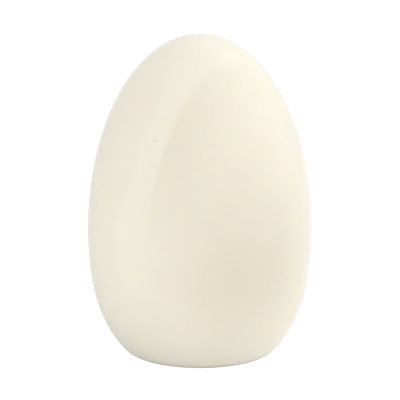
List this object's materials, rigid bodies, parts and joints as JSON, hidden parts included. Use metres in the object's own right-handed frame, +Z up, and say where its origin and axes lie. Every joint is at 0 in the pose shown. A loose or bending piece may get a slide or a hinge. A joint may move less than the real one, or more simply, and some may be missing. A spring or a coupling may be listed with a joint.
{
  "type": "chocolate egg",
  "caption": "Smooth moulded white chocolate egg that stands upright on its own small flat foot, for eating or for a sweet display.",
  "frame": {"origin": "centre of the flat foot, on the surface that the egg stands on", "axes": "+Z up through the egg's tip, along its axis; -Y is the front, the side with the pinhole; +X is to the right seen from the front"},
  "size_m": [0.105, 0.105, 0.15],
  "materials": {
    "white_chocolate": "smooth white chocolate, warm cream, with the low gloss of a polished mould"
  },
  "bodies": {
    "root": {"egg": "white_chocolate"}
  },
  "joints": []
}
